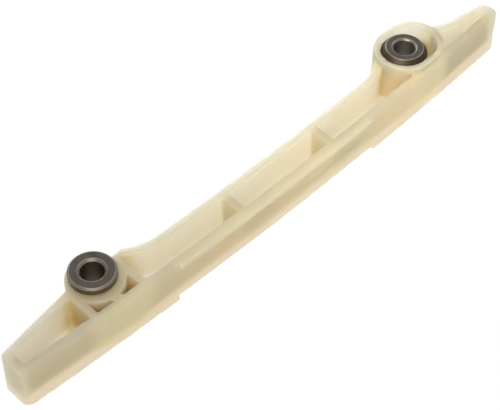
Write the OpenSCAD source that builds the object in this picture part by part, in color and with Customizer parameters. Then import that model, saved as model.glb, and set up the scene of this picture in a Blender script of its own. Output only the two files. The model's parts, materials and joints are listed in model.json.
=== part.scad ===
// Timing chain guide: a ribbed nylon rail, moulded in one piece, with two steel bolt sleeves.
// The origin is on the lower sleeve's axis, in the mounting face. X runs along the rail towards
// the upper sleeve, the chain runs on the -Y side, and the bolts point along Z.

/* [Rail] */
// Height of the rail along the bolts
rail_h = 17.4; // [15:0.1:24]
// Distance from the lower sleeve's axis back to the lower end of the rail
rail_back = 43; // [36:0.5:60]
// Distance from the upper sleeve's axis on to the upper end of the rail
rail_on = 44.8; // [38:0.2:60]
// Radius of the bowed running face
face_r = 1973; // [900:1:4000]
// Place of the running face's crest along the rail
crest_x = 41.2; // [30:0.1:70]
// Distance of the crest in front of the sleeve axes
crest_y = 16.5; // [15.5:0.1:19]
// Depth of the rail from the running face to its back, between the bosses
rail_d = 14.5; // [12:0.1:15.5]
// Thickness of the wall behind the running face
front_wall = 3.1; // [2:0.1:4]
// Thickness of the back wall
back_wall = 3.2; // [2:0.1:4]
// Thickness of the walls at the two ends
end_wall = 3.7; // [2:0.1:5]
// Thickness of the floor under the pockets
floor_t = 3; // [1.5:0.1:5]

/* [Tails] */
// Height of the lower tail's back line at the lower sleeve's axis
lower_tail_y = 3.2; // [2:0.1:5]
// Slope of the lower tail's back line, in degrees
lower_tail_turn = 9.7; // [6:0.1:11]
// Radius of the lower tail's back corner
lower_tail_r = 2.6; // [1:0.1:3]
// Height of the upper tail's back line at the end of the rail
upper_tail_y = -2.6; // [-4:0.1:-1]
// Slope of the upper tail's back line, in degrees
upper_tail_turn = -6.6; // [-9:0.1:-4]
// Radius of the upper tail's back corner
upper_tail_r = 4; // [1:0.1:5]

/* [Side lips] */
// How far a side lip stands out of the running face
lip_out = 1.4; // [0.6:0.1:2.5]
// Height of a side lip
lip_h = 2; // [1:0.1:3]
// Radius along the upper edge of the two end stretches
edge_r = 1.8; // [0.5:0.1:2.5]
// Where the upper side lip starts, measured from the lower sleeve's axis
lip_from = 24.5; // [18:0.5:40]
// Where the upper side lip ends
lip_to = 122; // [100:0.5:130]
// Gap along the rail between one side lip and the next
lip_gap = 1.6; // [0.5:0.1:4]
// Radius of the hollow curve at the root of a side lip
lip_root_r = 3; // [2.5:0.1:5]
// Radius of the upright corners at the two ends, as far out as the side lips
end_r = 3.2; // [1:0.1:4]

/* [Ribs] */
// Thickness of a cross rib
rib_t = 3; // [2:0.1:4]
// Distance from the lower sleeve's axis to the rib on each side of it
rib_near = 10.4; // [9.6:0.1:11]
// Spacing of the ribs along the middle of the rail
rib_pitch = 46.1; // [40:0.1:48]
// Number of ribs along the middle of the rail
rib_count = 2; // [1:1:2]
// Thickness of the web between the lower boss and the front wall
web_t = 3.8; // [2:0.1:5]

/* [Bosses] */
// Radius of the lower boss
low_boss_r = 10.5; // [10.3:0.1:11]
// How far the lower boss is set towards the chain from the sleeve's axis
low_boss_shift = 1.4; // [0:0.1:1.4]
// Wall between the upper boss's recess and its outside
up_boss_wall = 2.4; // [1.5:0.1:3]
// How far the upper boss is drawn out along the rail
up_boss_draw = 5.2; // [1:0.1:6]
// How far the upper boss stands above the rail
up_boss_rise = 2.4; // [1:0.1:4]
// Gap between the upper sleeve and the rounded end of its recess
recess_gap = 0.4; // [0.2:0.1:1.2]
// Depth of the recess around the upper sleeve
recess_d = 6.4; // [3:0.1:9]
// Radius of the hollow curve on each side of the upper boss
neck_r = 17.5; // [12:0.5:22]
// Radius of the hollow curve behind the lower boss
flare_r = 21.5; // [16:0.5:26]
// How far the back of the rail rises towards the lower boss
flare_rise = 5.8; // [3:0.1:7]
// How far the top of that rise stands past the rib beside the lower boss
flare_step = 0.6; // [0.2:0.1:2]
// Radius of the corner at the top of that rise
flare_top_r = 1.6; // [0.5:0.1:2]
// Height of the solid fill between the lower boss and that rib, behind the sleeve's axis
fill_y = 1.8; // [0.5:0.1:3]

/* [Sleeves] */
// Distance between the two sleeve axes
sleeve_span = 157; // [150:0.5:170]
// Length of each sleeve
sleeve_l = 20.5; // [20:0.1:30]
// Bore of each sleeve, for an 8 mm bolt
bore_d = 8.4; // [6.4:0.1:9]
// Outside diameter of the lower sleeve's head
head_d = 17; // [16:0.1:18]
// Diameter of the lower sleeve under its head
body_d = 13.8; // [12:0.1:14.4]
// Chamfer around the lower sleeve's head
head_chamfer = 0.6; // [0.1:0.1:1]
// Outside diameter of the upper sleeve
upper_d = 18.2; // [16.5:0.1:19]
// Diameter of the upper sleeve's top face
nose_d = 14.5; // [12.5:0.1:16]
// Length of the upper sleeve's tapered nose
nose_l = 2.4; // [1:0.1:4]
// Chamfer at the mouth of the lower sleeve's bore
low_mouth = 0.85; // [0.2:0.05:1.2]
// Chamfer at the mouth of the upper sleeve's bore
up_mouth = 0.6; // [0.2:0.05:1.2]

/* [Hidden] */
$fn = 96;
// Steps around the very large arcs of the running face and of the back
arc_fn = 3600;
// Overlap of joined shapes, and overrun of cutters
over = 1;
// Reach of the plane cutters across the rail
reach = 2 * (crest_y + rail_d);
// How far the end of a straight line is tucked into the round that it runs into
tuck = 0.02;

nylon = "#E6DCB4";
steel = "#5C5854";

bore_r = bore_d / 2;
head_r = head_d / 2;
body_r = body_d / 2;
upper_r = upper_d / 2;
nose_r = nose_d / 2;

rail_end = sleeve_span + rail_on;
face_c = [crest_x, face_r - crest_y];
pocket_r = face_r - front_wall;
back_r = face_r - rail_d;

rib_low = -rib_near - rib_t / 2;
rib_high = rib_near + rib_t / 2;
low_boss = [0, -low_boss_shift];

recess_r = upper_r + recess_gap;
up_boss_r = recess_r + up_boss_wall;
up_boss_top = rail_h + up_boss_rise;
up_boss = [sleeve_span, 0];
up_boss_end = [sleeve_span + up_boss_draw, 0];

// Angle of a place along the rail, seen from the centre of the running face's arc
function face_turn(x) = asin((x - crest_x) / face_r) - 90;

// Y of the rail's back between the bosses, and of any arc about the same centre
function arc_y(r, x) = face_c[1] - sqrt(r * r - (x - crest_x) * (x - crest_x));

// Crossing of two circles, on the left (side 1) or the right (side -1) of the line c1 to c2
function crossing(c1, r1, c2, r2, side) =
    let (v = c2 - c1, d = norm(v))
    let (a = (d * d + r1 * r1 - r2 * r2) / (2 * d))
    let (h = sqrt(r1 * r1 - a * a))
    c1 + v * a / d + side * h / d * [-v[1], v[0]];

// Point on the line between two centres where a circle of radius r1 about c1 ends
function touch(c1, r1, c2) = c1 + r1 * (c2 - c1) / norm(c2 - c1);

// Centre of a circle of radius r on the upper side of a line, that also touches a circle
// of radius far from c: p is a point of the line and turn its slope
function line_circle(p, turn, r, c, far) =
    let (u = [cos(turn), sin(turn)], n = [-sin(turn), cos(turn)])
    let (q = p + n * r - c)
    let (b = q * u)
    p + n * r + u * (sqrt(b * b - q * q + far * far) - b);

// Hollow curve behind the lower boss: from the corner at the rib down to the rail's back
flare_corner = [rib_high + flare_step, arc_y(back_r, rib_high) + flare_rise];
flare_c = crossing(face_c, back_r - flare_r, flare_corner, flare_r, 1);
// Round at the top of that curve, and the point where the two meet
flare_round = line_circle(flare_corner, -90, flare_top_r, flare_c, flare_r + flare_top_r);
flare_touch = touch(flare_round, flare_top_r, flare_c);
// Hollow curve from the rail's back up to the upper boss
neck_c = crossing(face_c, back_r - neck_r, up_boss, up_boss_r + neck_r, -1);
neck_top = touch(neck_c, neck_r, up_boss);
// Hollow curve from the upper boss down to the upper tail
upper_tail = [rail_end, upper_tail_y];
tail_c = line_circle(upper_tail, upper_tail_turn, neck_r, up_boss_end, up_boss_r + neck_r);
tail_top = touch(tail_c, neck_r, up_boss_end);

// Y of a tail's back line at x
function lower_line(x, inset) = lower_tail_y + x * tan(lower_tail_turn) - inset / cos(lower_tail_turn);
function upper_line(x, inset) =
    upper_tail_y + (x - rail_end) * tan(upper_tail_turn) - inset / cos(upper_tail_turn);

// Centres of the rounded back corners of the two tails
low_corner = [-rail_back + lower_tail_r, lower_line(-rail_back + lower_tail_r, lower_tail_r)];
up_corner = [rail_end - upper_tail_r, upper_line(rail_end - upper_tail_r, upper_tail_r)];

// Unit step square to a line of that slope
function square_to(turn) = [-sin(turn), cos(turn)];

module disc(c, r, steps = $fn) {
    translate(c) circle(r, $fn = steps);
}

// Strip across the rail from x0 to x1, up to the height y1
module strip(x0, x1, y1) {
    translate([x0, -reach]) square([x1 - x0, y1 + reach]);
}

// Outline of the upper boss, or of its recess
module drawn_out(r) {
    disc(up_boss, r);
    disc(up_boss_end, r);
    translate([up_boss[0], -r]) square([up_boss_draw, 2 * r]);
}

// Solid plan of the lower tail, up to the lower boss
module lower_tail_plan() {
    disc(low_corner, lower_tail_r);
    polygon([
        [-rail_back, -reach],
        [-rail_back, low_corner[1]],
        low_corner,
        low_corner + (lower_tail_r - tuck) * square_to(lower_tail_turn),
        [rib_low + rib_t, lower_line(rib_low + rib_t, 0)],
        [rib_low + rib_t, -reach]
    ]);
}

// Solid plan of the upper tail, from the upper boss on
module upper_tail_plan() {
    foot = tail_c - neck_r * square_to(upper_tail_turn);
    difference() {
        union() {
            disc(up_corner, upper_tail_r);
            polygon([
                [up_boss_end[0], -reach],
                [up_boss_end[0], tail_top[1]],
                [foot[0], tail_top[1]],
                foot,
                up_corner + (upper_tail_r - tuck) * square_to(upper_tail_turn),
                up_corner,
                [rail_end, up_corner[1]],
                [rail_end, -reach]
            ]);
        }
        disc(tail_c, neck_r);
    }
}

// What lies behind the rail's middle. The inset widens it to the inner side of the back wall.
module behind_middle(inset) {
    disc(flare_c, flare_r + inset);
    disc(neck_c, neck_r + inset);
    intersection() {
        disc(face_c, back_r + inset, arc_fn);
        strip(flare_c[0], neck_c[0], reach);
    }
}

module middle_plan() {
    disc(flare_round, flare_top_r);
    difference() {
        union() {
            strip(rib_high - over, flare_c[0], fill_y);
            strip(flare_corner[0], flare_c[0], flare_round[1]);
            strip(flare_round[0], flare_c[0], flare_touch[1]);
            strip(flare_c[0], up_boss[0], neck_top[1]);
        }
        behind_middle(0);
    }
}

// Outline of the whole rail, without its side lips
module rail_plan() {
    intersection() {
        disc(face_c, face_r, arc_fn);
        union() {
            lower_tail_plan();
            strip(rib_low, rib_high, low_boss[1]);
            disc(low_boss, low_boss_r);
            strip(0, rib_high, fill_y);
            middle_plan();
            strip(up_boss[0], up_boss_end[0], 0);
            drawn_out(up_boss_r);
            upper_tail_plan();
        }
    }
}

// Pockets between the walls, the ribs and the bosses
module lower_tail_pocket() {
    polygon([
        [-rail_back + end_wall, -reach],
        [-rail_back + end_wall, lower_line(-rail_back + end_wall, back_wall)],
        [rib_low, lower_line(rib_low, back_wall)],
        [rib_low, -reach]
    ]);
}

module lower_boss_pockets() {
    difference() {
        strip(rib_low + rib_t, rib_high - rib_t, low_boss[1]);
        disc(low_boss, low_boss_r);
        translate([-web_t / 2, -reach]) square([web_t, reach]);
    }
}

module middle_pockets() {
    difference() {
        union() {
            strip(rib_high, flare_c[0], flare_corner[1]);
            strip(flare_c[0], up_boss[0], neck_top[1]);
        }
        behind_middle(back_wall);
        drawn_out(up_boss_r);
        for (i = [1 : rib_count])
            translate([rib_near + i * rib_pitch - rib_t / 2, -reach]) square([rib_t, 2 * reach]);
    }
}

module upper_tail_pocket() {
    difference() {
        polygon([
            [up_boss_end[0], -reach],
            [up_boss_end[0], tail_top[1]],
            [tail_c[0], tail_top[1]],
            [tail_c[0], upper_line(tail_c[0], back_wall)],
            [rail_end - end_wall, upper_line(rail_end - end_wall, back_wall)],
            [rail_end - end_wall, -reach]
        ]);
        drawn_out(up_boss_r);
        disc(tail_c, neck_r + back_wall);
    }
}

module pocket_plan() {
    intersection() {
        disc(face_c, pocket_r, arc_fn);
        union() {
            lower_tail_pocket();
            lower_boss_pockets();
            middle_pockets();
            upper_tail_pocket();
        }
    }
}

// Sweeps a section along the running face from x0 to x1
module along_face(x0, x1) {
    translate(face_c)
        rotate([0, 0, face_turn(x0)])
            rotate_extrude(angle = face_turn(x1) - face_turn(x0), $fn = arc_fn)
                children();
}

// Section of a side lip at the foot of the running face, with the hollow curve at its root
module lip_section() {
    bottom = lip_root_r - tuck - lip_out;
    root_rise = sqrt(lip_root_r * lip_root_r - bottom * bottom);
    difference() {
        translate([face_r - over, 0]) square([over + lip_out, lip_h + root_rise]);
        translate([face_r + lip_root_r - tuck, lip_h + root_rise]) circle(lip_root_r);
    }
}

// Section cut away along the upper edge of the two end stretches, to round it
module edge_section() {
    difference() {
        translate([face_r - edge_r, rail_h - edge_r]) square(edge_r + over);
        translate([face_r - edge_r, rail_h - edge_r]) circle(edge_r);
    }
}

// A section turned over, for the middle stretch with its lip on top
module turned_over() {
    translate([0, rail_h]) mirror([0, 1]) children();
}

// Rounds the upright front corner at an end of the rail: way is the direction to that end
module end_cut(x, way) {
    corner = [x, arc_y(face_r + lip_out, x)];
    translate([corner[0] - way * end_r, corner[1] + end_r, -over])
        linear_extrude(rail_h + 2 * over)
            difference() {
                rotate(way > 0 ? -90 : 180) square(end_r + over);
                circle(end_r);
            }
}

module guide_rail() {
    low_stretch = lip_from - lip_gap;
    high_stretch = lip_to + lip_gap;
    color(nylon)
        difference() {
            union() {
                linear_extrude(rail_h) rail_plan();
                linear_extrude(up_boss_top) drawn_out(up_boss_r);
                along_face(-rail_back, low_stretch) lip_section();
                along_face(lip_from, lip_to) turned_over() lip_section();
                along_face(high_stretch, rail_end) lip_section();
            }
            translate([0, 0, floor_t]) linear_extrude(rail_h) pocket_plan();
            along_face(-rail_back - over, low_stretch) edge_section();
            along_face(high_stretch, rail_end + over) edge_section();
            end_cut(-rail_back, -1);
            end_cut(rail_end, 1);
            translate([0, 0, -over]) cylinder(r = body_r, h = rail_h + 2 * over);
            translate([sleeve_span, 0, -over]) cylinder(r = upper_r, h = rail_h);
            translate([0, 0, up_boss_top - recess_d])
                linear_extrude(recess_d + over) drawn_out(recess_r);
        }
}

// Turned section: a head on the boss, over a thinner body
module lower_bolt_sleeve() {
    color(steel)
        rotate_extrude()
            polygon([
                [bore_r, 0],
                [body_r, 0],
                [body_r, rail_h],
                [head_r, rail_h],
                [head_r, sleeve_l - head_chamfer],
                [head_r - head_chamfer, sleeve_l],
                [bore_r + low_mouth, sleeve_l],
                [bore_r, sleeve_l - low_mouth]
            ]);
}

// Turned section: a plain sleeve with a tapered nose
module upper_bolt_sleeve() {
    color(steel)
        translate([sleeve_span, 0, 0])
            rotate_extrude()
                polygon([
                    [bore_r, 0],
                    [upper_r, 0],
                    [upper_r, sleeve_l - nose_l],
                    [nose_r, sleeve_l],
                    [bore_r + up_mouth, sleeve_l],
                    [bore_r, sleeve_l - up_mouth]
                ]);
}

guide_rail();
lower_bolt_sleeve();
upper_bolt_sleeve();
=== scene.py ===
import json
import logging
import math
from dataclasses import dataclass, field
from enum import Enum
from typing import Any

import bmesh
import bpy
import numpy as np
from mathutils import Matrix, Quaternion, Vector


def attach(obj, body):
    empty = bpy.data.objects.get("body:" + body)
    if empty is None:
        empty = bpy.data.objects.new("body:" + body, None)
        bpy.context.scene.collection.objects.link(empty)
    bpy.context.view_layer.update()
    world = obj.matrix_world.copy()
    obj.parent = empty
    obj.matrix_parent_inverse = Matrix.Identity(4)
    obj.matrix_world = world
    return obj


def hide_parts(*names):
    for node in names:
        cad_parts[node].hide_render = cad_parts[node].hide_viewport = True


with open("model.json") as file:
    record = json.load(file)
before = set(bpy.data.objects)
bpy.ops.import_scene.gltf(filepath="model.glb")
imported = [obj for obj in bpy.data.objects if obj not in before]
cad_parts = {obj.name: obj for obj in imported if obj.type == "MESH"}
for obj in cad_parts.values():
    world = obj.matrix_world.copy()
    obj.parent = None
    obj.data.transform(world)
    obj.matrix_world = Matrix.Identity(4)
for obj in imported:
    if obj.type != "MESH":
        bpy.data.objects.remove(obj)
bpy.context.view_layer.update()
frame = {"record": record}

# The looks of a timing chain guide: a natural nylon rail, moulded in one piece, with two dark steel
# bolt sleeves.

MM: float = 0.001
WHITE: str = "#FFFFFF"
# The shader's scatter radius is this many times the mean free path of light in the material.
RADIUS_PER_PATH: float = 4 * math.pi

log = logging.getLogger("timing_chain_guide")


def linear(colour: str) -> tuple[float, float, float, float]:
    """Turns an sRGB hex colour into linear light.

    Args:
        colour: six hex digits after a hash mark.

    Returns:
        Linear red, green, blue and an alpha of 1.
    """
    shares = [int(colour[i:i + 2], 16) / 255 for i in (1, 3, 5)]
    light = [s / 12.92 if s <= 0.04045 else ((s + 0.055) / 1.055) ** 2.4 for s in shares]
    return (light[0], light[1], light[2], 1.0)


def add_node(
    tree: bpy.types.NodeTree,
    kind: str,
    values: dict[str | int, Any] | None = None,
    links: dict[str | int, bpy.types.NodeSocket] | None = None,
    **settings: Any,
) -> bpy.types.Node:
    """Adds a shader node with its settings, socket values and incoming links.

    Args:
        tree: the node tree that takes the node.
        kind: Blender's name of the node type.
        values: constants for input sockets, by name or index.
        links: output sockets to join to input sockets, by name or index.
        settings: properties of the node itself.

    Returns:
        The new node.
    """
    node = tree.nodes.new(kind)
    for name, value in settings.items():
        setattr(node, name, value)
    for name, value in (values or {}).items():
        node.inputs[name].default_value = value
    for name, source in (links or {}).items():
        tree.links.new(source, node.inputs[name])
    return node


def new_material(name: str) -> tuple[bpy.types.Material, bpy.types.NodeTree, bpy.types.Node]:
    """Starts a material with a bare Principled shader.

    Args:
        name: the material's name.

    Returns:
        The material, its node tree and its shader node.
    """
    material = bpy.data.materials.new(name)
    material.use_nodes = True
    tree = material.node_tree
    tree.nodes.clear()
    shader = add_node(tree, "ShaderNodeBsdfPrincipled")
    add_node(tree, "ShaderNodeOutputMaterial", links={"Surface": shader.outputs[0]})
    return material, tree, shader


@dataclass(frozen=True)
class NaturalNylon:
    """Natural nylon, injection moulded: cream, semi-matt and so translucent that its walls glow."""

    name: str = "natural_nylon_moulded"
    body: str = "#F8E1AC"
    roughness: float = 0.42
    refraction: float = 1.53
    # Melt flow: its colour, the width of its streaks and their width as a share of their length.
    flow: str = "#F5DCA2"
    flow_mm: float = 38.0
    flow_share: float = 0.35
    grain_mm: float = 0.9
    grain_depth_mm: float = 0.01
    # How far light goes before it turns: in the walls, and in the floor, which ends between two heights.
    path_mm: float = 3.2
    floor_path_mm: float = 10.0
    floor_mm: tuple[float, float] = (3.2, 4.2)
    # The lower edges: a paler colour, painted light from the glowing table below, and the heights where it is
    # full and where it has gone.
    edge: str = "#F9E7C4"
    edge_mm: tuple[float, float] = (0.5, 6.0)
    # The walls round the sleeves: a paler colour, painted light for the light that the steel behind bounces
    # back, their light path, and the radii where that is full and where it has gone.
    backed: str = "#F8DFB3"
    backed_path_mm: float = 0.9
    backed_mm: tuple[float, float] = (10.0, 16.0)
    # Round the axis the zone is wider, and ends at a height for each sleeve.
    backed_more_mm: float = 2.0
    backed_top_mm: tuple[float, float] = (20.0, 13.0)
    backed_fade_mm: float = 1.0
    # On the chain side it is moved towards the running face, has its own width and goes over the whole height.
    backed_shift_mm: float = 5.0
    backed_face_mm: tuple[float, float] = (4.0, 0.0)
    backed_height_mm: float = 40.0

    def material(self) -> bpy.types.Material:
        """Makes the material.

        Returns:
            The material, whose colour and light path follow the zones of the rail.
        """
        material, tree, shader = new_material(self.name)
        place = add_node(tree, "ShaderNodeTexCoord").outputs["Object"]
        height = add_node(tree, "ShaderNodeSeparateXYZ", links={0: place}).outputs[2]
        steel = self.steel_behind(tree, place, height)
        painted_low_light, low = (
            add_node(
                tree, "ShaderNodeMapRange", {"From Min": gone * MM, "From Max": full * MM}, {"Value": height},
            ).outputs[0]
            for full, gone in (self.edge_mm, self.floor_mm)
        )
        # Melt flow leaves broad, faint streaks along the rail.
        streaks = add_node(
            tree, "ShaderNodeMapping", {"Scale": (self.flow_share, 1.0, 1.0)}, {"Vector": place},
        )
        flow = add_node(
            tree, "ShaderNodeTexNoise", {"Scale": 1 / (self.flow_mm * MM), "Detail": 2.0},
            {"Vector": streaks.outputs[0]},
        )
        colour = add_node(
            tree, "ShaderNodeMix", {6: linear(self.body), 7: linear(self.flow)},
            {0: flow.outputs[0]}, data_type="RGBA",
        ).outputs[2]
        # Painted light: near the steel the nylon is less yellow, for the light that the steel bounces back, and
        # low down it is paler, for the light of the table below.
        for shade, where in ((self.backed, steel), (self.edge, painted_low_light)):
            colour = add_node(
                tree, "ShaderNodeMix", {7: linear(shade)}, {0: where, 6: colour}, data_type="RGBA",
            ).outputs[2]
        tree.links.new(colour, shader.inputs["Base Color"])
        # The mould's spark-eroded grain, drawn coarser than the real one so that it shows.
        grain = add_node(
            tree, "ShaderNodeTexNoise", {"Scale": 1 / (self.grain_mm * MM), "Detail": 3.0}, {"Vector": place},
        )
        bump = add_node(
            tree, "ShaderNodeBump", {"Strength": 1.0, "Distance": self.grain_depth_mm * MM},
            {"Height": grain.outputs[0]},
        )
        tree.links.new(bump.outputs[0], shader.inputs["Normal"])
        # Light goes a long way in the walls and further in the floor, and turns back sooner near the steel.
        wall, floor, backed = (
            (RADIUS_PER_PATH * path,) * 3 for path in (self.path_mm, self.floor_path_mm, self.backed_path_mm)
        )
        free = add_node(tree, "ShaderNodeMix", {4: wall, 5: floor}, {0: low}, data_type="VECTOR")
        radius = add_node(
            tree, "ShaderNodeMix", {5: backed}, {0: steel, 4: free.outputs[1]}, data_type="VECTOR",
        )
        tree.links.new(radius.outputs[1], shader.inputs["Subsurface Radius"])
        shader.subsurface_method = "RANDOM_WALK"
        shader.inputs["Subsurface Weight"].default_value = 1.0
        shader.inputs["Subsurface Scale"].default_value = MM
        shader.inputs["Roughness"].default_value = self.roughness
        shader.inputs["IOR"].default_value = self.refraction
        return material

    def steel_behind(
        self, tree: bpy.types.NodeTree, place: bpy.types.NodeSocket, height: bpy.types.NodeSocket,
    ) -> bpy.types.NodeSocket:
        """Adds nodes that find the walls round the sleeves, and the whole height of their chain side, which get
        the painted paler tint.

        Args:
            tree: the material's node tree.
            place: the object coordinates.
            height: their upright part.

        Returns:
            A socket that is 1 there and 0 away from it.
        """
        plan = add_node(tree, "ShaderNodeMapping", {"Scale": (1.0, 1.0, 0.0)}, {"Vector": place})
        found = None
        # The first two mounts are the sleeves' bores.
        for mount, top, wider in zip(frame["record"]["mounts"], self.backed_top_mm, self.backed_face_mm):
            for shift, reach, more in (
                (self.backed_shift_mm, self.backed_height_mm, wider), (0.0, top, self.backed_more_mm),
            ):
                centre = (mount["pos_m"][0], -shift * MM, 0.0)
                gap = add_node(
                    tree, "ShaderNodeVectorMath", {1: centre}, {0: plan.outputs[0]}, operation="DISTANCE",
                )
                full, gone = self.backed_mm
                near = add_node(
                    tree, "ShaderNodeMapRange",
                    {"From Min": (gone + more) * MM, "From Max": (full + more) * MM},
                    {"Value": gap.outputs["Value"]},
                )
                below = add_node(
                    tree, "ShaderNodeMapRange",
                    {"From Min": (reach + self.backed_fade_mm) * MM, "From Max": reach * MM}, {"Value": height},
                )
                here = add_node(
                    tree, "ShaderNodeMath", links={0: near.outputs[0], 1: below.outputs[0]},
                    operation="MULTIPLY",
                ).outputs[0]
                if found is not None:
                    here = add_node(
                        tree, "ShaderNodeMath", links={0: found, 1: here}, operation="MAXIMUM",
                    ).outputs[0]
                found = here
        return found


@dataclass(frozen=True)
class TurnedSteel:
    """Lathe-turned steel: fine rings around the axis and dark oil spots, on a band colour that holds painted
    light and shade.
    """

    name: str
    colour: str
    roughness: float
    axis_x_mm: float = 0.0
    ring_mm: float = 0.35
    ring_depth_mm: float = 0.004
    smear_mm: float = 3.0
    smear_gloss: float = 0.06
    # Oil stains: their colour, the part of the smears that they cover, and how strong they get.
    stain: str = "#2E2A27"
    stain_reach: tuple[float, float] = (0.5, 0.9)
    stain_most: float = 0.5

    def material(self) -> bpy.types.Material:
        """Makes the material.

        Returns:
            The material, with its turning marks centred on the sleeve's axis.
        """
        material, tree, shader = new_material(self.name)
        place = add_node(tree, "ShaderNodeTexCoord").outputs["Object"]
        centred = add_node(
            tree, "ShaderNodeMapping", {"Location": (-self.axis_x_mm * MM, 0.0, 0.0)}, {"Vector": place},
        )
        parts = add_node(tree, "ShaderNodeSeparateXYZ", links={0: centred.outputs[0]})
        flat = add_node(tree, "ShaderNodeCombineXYZ", links={0: parts.outputs[0], 1: parts.outputs[1]})
        radius = add_node(tree, "ShaderNodeVectorMath", links={0: flat.outputs[0]}, operation="LENGTH")
        # The tool's path: a noise that changes with the radius and the height but not around the axis. It is
        # drawn coarser than the real feed so that it shows.
        path = add_node(tree, "ShaderNodeCombineXYZ", links={0: radius.outputs["Value"], 1: parts.outputs[2]})
        rings = add_node(
            tree, "ShaderNodeTexNoise", {"Scale": 1 / (self.ring_mm * MM), "Detail": 2.0},
            {"Vector": path.outputs[0]},
        )
        bump = add_node(
            tree, "ShaderNodeBump", {"Strength": 1.0, "Distance": self.ring_depth_mm * MM},
            {"Height": rings.outputs[0]},
        )
        tree.links.new(bump.outputs[0], shader.inputs["Normal"])
        # Oil and handling leave the gloss uneven and darken the steel in spots.
        smear = add_node(
            tree, "ShaderNodeTexNoise", {"Scale": 1 / (self.smear_mm * MM), "Detail": 3.0}, {"Vector": place},
        )
        gloss = add_node(
            tree, "ShaderNodeMapRange",
            {"To Min": self.roughness - self.smear_gloss, "To Max": self.roughness + self.smear_gloss},
            {"Value": smear.outputs[0]},
        )
        tree.links.new(gloss.outputs[0], shader.inputs["Roughness"])
        spots = add_node(
            tree, "ShaderNodeMapRange",
            {"From Min": self.stain_reach[0], "From Max": self.stain_reach[1], "To Max": self.stain_most},
            {"Value": smear.outputs[0]},
        )
        tone = add_node(
            tree, "ShaderNodeMix", {6: linear(self.colour), 7: linear(self.stain)},
            {0: spots.outputs[0]}, data_type="RGBA",
        )
        tree.links.new(tone.outputs[2], shader.inputs["Base Color"])
        shader.inputs["Metallic"].default_value = 1.0
        return material


def select_only(piece: bpy.types.Object) -> None:
    """Deselects everything, then selects the piece and makes it active.

    Args:
        piece: the object to select.
    """
    bpy.ops.object.select_all(action="DESELECT")
    piece.select_set(True)
    bpy.context.view_layer.objects.active = piece


def settle(piece: bpy.types.Object, node: str | None = None) -> None:
    """Puts a finished piece on the part's body and reports it.

    Args:
        piece: the finished object.
        node: the CAD node that it stands for, if any.
    """
    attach(piece, "root")
    if node:
        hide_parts(node)
    log.info("%s: %d faces", piece.name, len(piece.data.polygons))


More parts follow.
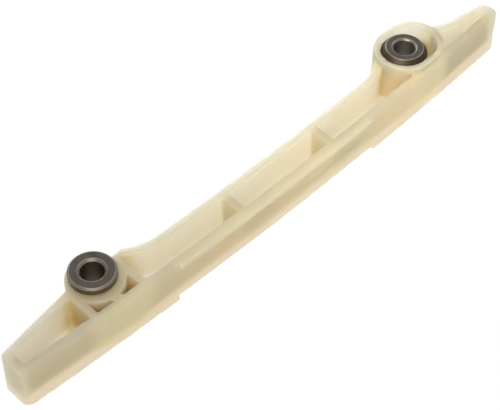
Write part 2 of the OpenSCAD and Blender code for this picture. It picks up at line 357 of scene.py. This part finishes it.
@dataclass
class GuideRail:
    """The moulded rail: the CAD solid with the soft edges and fillets of a moulding."""

    node: str = "guide_rail"
    name: str = "nylon_rail"
    weld_mm: float = 0.002
    skin_mm: float = 0.3
    edge_passes: int = 4
    kept_share: float = 0.3
    normal_weight: int = 100
    # The softer rims: how far the softening reaches, and each rim's height and number of smoothing passes.
    rim_reach_mm: float = 1.1
    back_top_mm: float = 17.4
    back_passes: int = 40
    boss_top_mm: float = 19.8
    boss_passes: int = 14
    # What counts as a rim of the back wall: at one level, over an upright face, turned to the chain, and behind.
    level_play_mm: float = 0.05
    upright: float = 0.1
    chainward: float = -0.4
    behind_y_mm: float = -12.0
    finish: NaturalNylon = field(default_factory=NaturalNylon)

    def build(self) -> bpy.types.Object:
        """Copies the CAD solid, welds it and gives it an even skin with rounded edges.

        Returns:
            The rail.
        """
        solid = bpy.data.objects[self.node]
        piece = bpy.data.objects.new(self.name, solid.data.copy())
        bpy.context.scene.collection.objects.link(piece)
        select_only(piece)
        bpy.ops.object.mode_set(mode="EDIT")
        bpy.ops.mesh.select_all(action="SELECT")
        bpy.ops.mesh.remove_doubles(threshold=self.weld_mm * MM)
        bpy.ops.object.mode_set(mode="OBJECT")
        back_rims = self.rims(piece.data, self.back_top_mm, back_only=True)
        boss_rims = self.rims(piece.data, self.boss_top_mm, back_only=False)
        self.shape(piece, "REMESH", mode="VOXEL", voxel_size=self.skin_mm * MM, use_smooth_shade=True)
        self.shape(piece, "SMOOTH", iterations=self.edge_passes)
        for name, lines, passes in (
            ("back_rims", back_rims, self.back_passes), ("boss_rims", boss_rims, self.boss_passes),
        ):
            self.shape(piece, "SMOOTH", iterations=passes, vertex_group=self.near(piece, name, lines))
        self.shape(piece, "DECIMATE", decimate_type="COLLAPSE", ratio=self.kept_share)
        self.shape(piece, "WEIGHTED_NORMAL", weight=self.normal_weight)
        return piece

    def shape(self, piece: bpy.types.Object, kind: str, **settings: Any) -> None:
        """Adds a modifier and applies it.

        Args:
            piece: the object to shape.
            kind: Blender's name of the modifier type.
            settings: properties of the modifier.
        """
        modifier = piece.modifiers.new(kind.lower(), kind)
        for name, value in settings.items():
            setattr(modifier, name, value)
        bpy.ops.object.modifier_apply(modifier=modifier.name)

    def rims(self, mesh: bpy.types.Mesh, level_mm: float, back_only: bool) -> list[tuple[Vector, Vector]]:
        """Finds the upper edges of the walls that end at a level, which the mould leaves softest.

        Args:
            mesh: the welded CAD mesh.
            level_mm: the height of the edges.
            back_only: leaves out all but the inner edges of the back wall.

        Returns:
            The ends of each such edge.
        """
        shape = bmesh.new()
        shape.from_mesh(mesh)
        found = []
        for edge in shape.edges:
            ends = (edge.verts[0].co.copy(), edge.verts[1].co.copy())
            level = all(abs(end.z - level_mm * MM) < self.level_play_mm * MM for end in ends)
            walls = [face for face in edge.link_faces if abs(face.normal.z) < self.upright]
            if back_only:
                behind = max(end.y for end in ends) > self.behind_y_mm * MM
                walls = [face for face in walls if behind and face.normal.y < self.chainward]
            if level and walls:
                found.append(ends)
        shape.free()
        return found

    def near(self, piece: bpy.types.Object, name: str, lines: list[tuple[Vector, Vector]]) -> str:
        """Puts the points of a mesh that lie near some lines in a vertex group.

        Args:
            piece: the object with the mesh.
            name: a name for the group.
            lines: the ends of each line.

        Returns:
            The group's name.
        """
        points = np.empty(len(piece.data.vertices) * 3, np.float32)
        piece.data.vertices.foreach_get("co", points)
        points = points.reshape(-1, 3)
        reach = self.rim_reach_mm * MM
        gaps = np.full(len(points), reach)
        for start, end in lines:
            along = np.array(end - start)
            share = np.clip((points - np.array(start)) @ along / (along @ along), 0, 1)
            away = np.linalg.norm(points - np.array(start) - share[:, None] * along, axis=1)
            gaps = np.minimum(gaps, away)
        group = piece.vertex_groups.new(name=name)
        for index in np.flatnonzero(gaps < reach).tolist():
            group.add([index], 1 - (gaps[index] / reach) ** 2, "REPLACE")
        return group.name

    def dress(self, piece: bpy.types.Object) -> None:
        """Gives the rail its finish and its place on the part.

        Args:
            piece: the rail.
        """
        piece.data.materials.clear()
        piece.data.materials.append(self.finish.material())
        settle(piece, self.node)


class Skin(Enum):
    """Finish of one turned band of a sleeve: a name, a colour and a roughness; most colours are painted light
    and shade.
    """

    # A flat end, nearly black: painted shade for the dim surroundings that a flat face mirrors.
    DARK = ("shaded_flat_steel", "#56524C", 0.42)
    # A chamfer, a shade lighter: painted light where the chamfers face the lamps.
    CUT = ("lit_chamfer_steel", "#6C6861", 0.44)
    # The break of an edge, a light line: a painted highlight.
    EDGE = ("edge_highlight_steel", "#8A867F", 0.40)
    # The side of the head, warm brown: a painted reflection of the cream nylon round it.
    STAINED = ("nylon_reflection_steel", "#7A6852", 0.40)
    # The tapered nose, browner and duller.
    BROWNED = ("brown_nose_steel", "#453C31", 0.5)
    # The lower bore, brown and dim.
    BORE = ("brown_reamed_steel", "#76675C", 0.45)
    # The upper bore, paler and greyer.
    PALE_BORE = ("pale_reamed_steel", "#A39E96", 0.42)
    # The side inside the boss, near white: painted light, so that the nylon round it gets back the light that
    # steel bounces into it.
    CLEAN = ("bounce_white_steel", "#EFEDEA", 0.40)


@dataclass
class BoltSleeve:
    """A turned steel sleeve: each band of its outline ends at a radius and a height and has a finish."""

    node: str
    name: str
    axis_x_mm: float
    bands_mm: list[tuple[float, float, Skin]]
    sides: int = 160
    weld_mm: float = 0.001
    edge_mm: float = 0.12
    edge_segments: int = 2
    edge_angle_deg: float = 20.0

    def build(self) -> bpy.types.Object:
        """Turns the outline around the sleeve's axis, band by band.

        Returns:
            The sleeve.
        """
        bpy.ops.object.select_all(action="DESELECT")
        centre = Vector((self.axis_x_mm * MM, 0.0, 0.0))
        radius, height, _ = self.bands_mm[-1]
        bpy.ops.mesh.primitive_circle_add(
            vertices=self.sides, radius=radius * MM, location=centre + Vector((0, 0, height * MM)),
        )
        piece = bpy.context.object
        piece.name = self.name
        piece.data.name = self.name
        bpy.ops.object.transform_apply(location=True, rotation=True, scale=True)
        bpy.ops.object.mode_set(mode="EDIT")
        bpy.ops.mesh.select_all(action="SELECT")
        for next_radius, next_height, _ in self.bands_mm:
            bpy.ops.mesh.extrude_region_move(
                TRANSFORM_OT_translate={"value": (0.0, 0.0, (next_height - height) * MM)},
            )
            share = next_radius / radius
            bpy.ops.transform.resize(value=(share, share, 1.0), center_override=centre)
            radius, height = next_radius, next_height
        bpy.ops.mesh.select_all(action="SELECT")
        bpy.ops.mesh.remove_doubles(threshold=self.weld_mm * MM)
        bpy.ops.mesh.normals_make_consistent(inside=False)
        bpy.ops.object.mode_set(mode="OBJECT")
        return piece

    def dress(self, piece: bpy.types.Object) -> None:
        """Gives the sleeve its finishes, its fine edges with their painted highlight and its place on the part.

        Args:
            piece: the sleeve, with its faces in the order of the bands.
        """
        used = {Skin.EDGE, *(skin for _, _, skin in self.bands_mm)}
        skins = [skin for skin in Skin if skin in used]
        for skin in skins:
            name, colour, roughness = skin.value
            steel = TurnedSteel(f"{name}_{self.name}", colour, roughness, self.axis_x_mm)
            piece.data.materials.append(steel.material())
        for face in piece.data.polygons:
            face.material_index = skins.index(self.bands_mm[face.index // self.sides][2])
        select_only(piece)
        bpy.ops.object.shade_smooth()
        bevel = piece.modifiers.new("edges", "BEVEL")
        bevel.limit_method = "ANGLE"
        bevel.angle_limit = math.radians(self.edge_angle_deg)
        bevel.width = self.edge_mm * MM
        bevel.segments = self.edge_segments
        bevel.use_clamp_overlap = False
        bevel.harden_normals = True
        # The bevels take the light edge colour, a painted highlight.
        bevel.material = skins.index(Skin.EDGE)
        bpy.ops.object.modifier_apply(modifier=bevel.name)
        settle(piece, self.node)


@dataclass
class PartingLine:
    """The fine raised line that the mould leaves along part of the running face, drawn near white as a painted
    highlight.
    """

    name: str = "parting_line"
    reach_mm: tuple[float, float] = (74.0, 120.0)
    height_mm: float = 8.2
    radius_mm: float = 0.3
    sunk_mm: float = 0.23
    ends_share: float = 0.72
    steps: int = 24
    sides: int = 8
    # The running face's bow, as in the part's source.
    face_r_mm: float = 1973.0
    crest_mm: tuple[float, float] = (41.2, -16.5)
    # The bead is near white with a very short light path: a painted highlight for the thin bright line along the
    # running face.
    finish: NaturalNylon = field(
        default_factory=lambda: NaturalNylon(
            name="natural_nylon_flash_painted_highlight", body="#FFF6E4", flow="#FFF4DE", path_mm=0.1,
        ),
    )

    def place(self, step: int) -> Vector:
        """Gives the line's centre at a step along the running face.

        Args:
            step: the number of steps from the line's start.

        Returns:
            The centre in metres.
        """
        x = self.reach_mm[0] + (self.reach_mm[1] - self.reach_mm[0]) * step / self.steps
        bow = self.face_r_mm - math.sqrt(self.face_r_mm ** 2 - (x - self.crest_mm[0]) ** 2)
        return Vector((x, self.crest_mm[1] + bow + self.sunk_mm, self.height_mm)) * MM

    def build(self) -> bpy.types.Object:
        """Draws a fine bead along the running face, with its ends sunk into it.

        Returns:
            The line.
        """
        bpy.ops.object.select_all(action="DESELECT")
        bpy.ops.mesh.primitive_circle_add(
            vertices=self.sides, radius=self.radius_mm * self.ends_share * MM, fill_type="NGON",
            location=self.place(0), rotation=(0.0, math.pi / 2, 0.0),
        )
        piece = bpy.context.object
        piece.name = self.name
        piece.data.name = self.name
        bpy.ops.object.transform_apply(location=True, rotation=True, scale=True)
        bpy.ops.object.mode_set(mode="EDIT")
        bpy.ops.mesh.select_all(action="SELECT")
        for step in range(1, self.steps + 1):
            move = self.place(step) - self.place(step - 1)
            bpy.ops.mesh.extrude_region_move(TRANSFORM_OT_translate={"value": move})
            share = {1: 1 / self.ends_share, self.steps: self.ends_share}.get(step, 1.0)
            bpy.ops.transform.resize(value=(1.0, share, share), center_override=self.place(step))
        bpy.ops.mesh.select_all(action="SELECT")
        bpy.ops.mesh.normals_make_consistent(inside=False)
        bpy.ops.object.mode_set(mode="OBJECT")
        bpy.ops.object.shade_smooth()
        return piece

    def dress(self, piece: bpy.types.Object) -> None:
        """Gives the line its finish and its place on the part."""
        piece.data.materials.append(self.finish.material())
        settle(piece)


@dataclass(frozen=True)
class Softbox:
    """A soft rectangular lamp."""

    name: str
    place_mm: tuple[float, float, float]
    aim_mm: tuple[float, float, float]
    size_mm: tuple[float, float]
    watts: float
    colour: str
    spread_deg: float = 180.0

    def hang(self) -> None:
        """Hangs the lamp and points it at its aim."""
        data = bpy.data.lights.new(self.name, "AREA")
        data.shape = "RECTANGLE"
        data.size, data.size_y = (side * MM for side in self.size_mm)
        data.energy = self.watts
        data.spread = math.radians(self.spread_deg)
        data.color = linear(self.colour)[:3]
        lamp = bpy.data.objects.new(self.name, data)
        bpy.context.scene.collection.objects.link(lamp)
        lamp.location = Vector(self.place_mm) * MM
        lamp.rotation_mode = "QUATERNION"
        lamp.rotation_quaternion = (Vector(self.aim_mm) - Vector(self.place_mm)).to_track_quat("-Z", "Y")


@dataclass
class Studio:
    """A white light table, soft lamps and the photograph's camera."""

    lens_mm: float = 106.27
    sensor_mm: float = 36.0
    azimuth_deg: float = -45.56
    elevation_deg: float = 48.99
    roll_deg: float = 1.27
    distance_mm: float = 527.0
    aim_mm: tuple[float, float, float] = (65.3, -8.95, 8.7)
    nearest_mm: float = 10.0
    # The table's size and place, its own light, and how it looks: nearly white, with a faint shadow.
    table_mm: float = 4000.0
    table_place_mm: tuple[float, float, float] = (80.0, 0.0, -0.05)
    table_paint: str = "#F2F2F2"
    table_glow: float = 0.31
    table_seen: float = 0.9
    table_shade: str = "#7C7C7C"
    room: float = 0.28
    warm: str = "#FFF7E6"
    cool: str = "#ECF2FF"

    def camera(self) -> None:
        """Places the camera at the photograph's angle."""
        data = bpy.data.cameras.new("camera")
        data.lens = self.lens_mm
        data.sensor_width = self.sensor_mm
        data.clip_start = self.nearest_mm * MM
        camera = bpy.data.objects.new("camera", data)
        bpy.context.scene.collection.objects.link(camera)
        turn = math.radians(self.azimuth_deg)
        rise = math.radians(self.elevation_deg)
        back = Vector((math.sin(turn) * math.cos(rise), -math.cos(turn) * math.cos(rise), math.sin(rise)))
        camera.rotation_mode = "QUATERNION"
        roll = Quaternion((0, 0, 1), math.radians(self.roll_deg))
        camera.rotation_quaternion = (-back).to_track_quat("-Z", "Y") @ roll
        camera.location = Vector(self.aim_mm) * MM + back * (self.distance_mm * MM)
        bpy.context.scene.camera = camera

    def looked_at(self, tree: bpy.types.NodeTree) -> bpy.types.NodeSocket:
        """Adds nodes that tell a ray that sees, also in a mirror or through glass, from one that lights.

        Args:
            tree: the node tree that takes them.

        Returns:
            A socket that is 1 for a ray that sees.
        """
        ray = add_node(tree, "ShaderNodeLightPath")
        mirrored = add_node(
            tree, "ShaderNodeMath", links={0: ray.outputs["Is Camera Ray"], 1: ray.outputs["Is Glossy Ray"]},
            operation="MAXIMUM",
        )
        return add_node(
            tree, "ShaderNodeMath", links={0: mirrored.outputs[0], 1: ray.outputs["Is Transmission Ray"]},
            operation="MAXIMUM",
        ).outputs[0]

    def table(self) -> None:
        """Lays a light table under the part, which looks white and keeps a faint shadow."""
        bpy.ops.object.select_all(action="DESELECT")
        bpy.ops.mesh.primitive_plane_add(size=self.table_mm * MM, location=Vector(self.table_place_mm) * MM)
        table = bpy.context.object
        table.name = "table"
        # Opal glass, lit from below: it glows evenly and has no texture of its own.
        material = bpy.data.materials.new("opal_glass_light_table")
        material.use_nodes = True
        tree = material.node_tree
        tree.nodes.clear()
        paint = add_node(tree, "ShaderNodeBsdfDiffuse", {"Color": linear(self.table_paint)})
        glow = add_node(tree, "ShaderNodeEmission", {"Color": linear(self.warm), "Strength": self.table_glow})
        lights = add_node(tree, "ShaderNodeAddShader", links={0: paint.outputs[0], 1: glow.outputs[0]})
        white = add_node(tree, "ShaderNodeEmission", {"Color": linear(WHITE), "Strength": self.table_seen})
        faint = add_node(tree, "ShaderNodeBsdfDiffuse", {"Color": linear(self.table_shade)})
        seen = add_node(tree, "ShaderNodeAddShader", links={0: white.outputs[0], 1: faint.outputs[0]})
        surface = add_node(
            tree, "ShaderNodeMixShader",
            links={0: self.looked_at(tree), 1: lights.outputs[0], 2: seen.outputs[0]},
        )
        add_node(tree, "ShaderNodeOutputMaterial", links={"Surface": surface.outputs[0]})
        table.data.materials.append(material)

    def light(self) -> None:
        """Hangs the soft lamps and sets the white surroundings."""
        lamps = (
            Softbox("key", (-220.0, -300.0, 380.0), (20.0, -5.0, 10.0), (300.0, 300.0), 0.98, self.warm),
            Softbox("side", (400.0, -160.0, 330.0), (120.0, 0.0, 10.0), (300.0, 300.0), 0.2, self.warm),
            Softbox("grid", (-60.0, -60.0, 170.0), (175.0, -8.0, 10.0), (90.0, 90.0), 0.036, self.warm, 50.0),
            Softbox("back", (240.0, 360.0, 100.0), (150.0, 0.0, 10.0), (500.0, 200.0), 0.75, self.warm),
        )
        for lamp in lamps:
            lamp.hang()
        world = bpy.data.worlds.new("white_room")
        bpy.context.scene.world = world
        world.use_nodes = True
        tree = world.node_tree
        tree.nodes.clear()
        room = add_node(tree, "ShaderNodeBackground", {"Color": linear(self.cool), "Strength": self.room})
        seen = add_node(tree, "ShaderNodeBackground", {"Color": linear(WHITE), "Strength": 1.0})
        both = add_node(
            tree, "ShaderNodeMixShader",
            links={0: self.looked_at(tree), 1: room.outputs[0], 2: seen.outputs[0]},
        )
        add_node(tree, "ShaderNodeOutputWorld", links={"Surface": both.outputs[0]})
        bpy.context.scene.view_settings.view_transform = "Standard"


def sleeves() -> list[BoltSleeve]:
    """Describes the two bolt sleeves.

    Returns:
        The lower, headed sleeve and the upper, tapered one.
    """
    upper_x = frame["record"]["mounts"][1]["pos_m"][0] / MM
    lower = BoltSleeve(
        node="lower_bolt_sleeve",
        name="lower_sleeve",
        axis_x_mm=0.0,
        bands_mm=[
            # The bore, the hidden end, the shank, then the head with its two chamfers and the mouth's chamfer.
            (4.2, 0.4, Skin.BORE), (4.6, 0.0, Skin.CUT), (6.6, 0.0, Skin.DARK), (6.9, 0.3, Skin.CUT),
            (6.9, 17.4, Skin.CLEAN), (8.3, 17.4, Skin.CLEAN), (8.5, 17.6, Skin.STAINED),
            (8.5, 19.9, Skin.STAINED), (7.9, 20.5, Skin.CUT), (5.05, 20.5, Skin.DARK), (4.2, 19.65, Skin.CUT),
        ],
    )
    upper = BoltSleeve(
        node="upper_bolt_sleeve",
        name="upper_sleeve",
        axis_x_mm=upper_x,
        bands_mm=[
            # The bore, the hidden end, the shank, then the tapered nose and the mouth's chamfer.
            (4.2, 0.4, Skin.PALE_BORE), (4.6, 0.0, Skin.CUT), (8.8, 0.0, Skin.DARK), (9.1, 0.3, Skin.CUT),
            (9.1, 13.4, Skin.CLEAN), (9.1, 18.1, Skin.BROWNED), (7.25, 20.5, Skin.BROWNED),
            (4.8, 20.5, Skin.DARK), (4.2, 19.9, Skin.CUT),
        ],
        edge_mm=0.2,
    )
    return [lower, upper]


def main() -> None:
    """Builds the pieces, then the studio around them."""
    logging.basicConfig(level=logging.INFO)
    for part in [GuideRail(), PartingLine(), *sleeves()]:
        part.dress(part.build())
    studio = Studio()
    studio.camera()
    studio.table()
    studio.light()


if __name__ == "__main__":
    main()
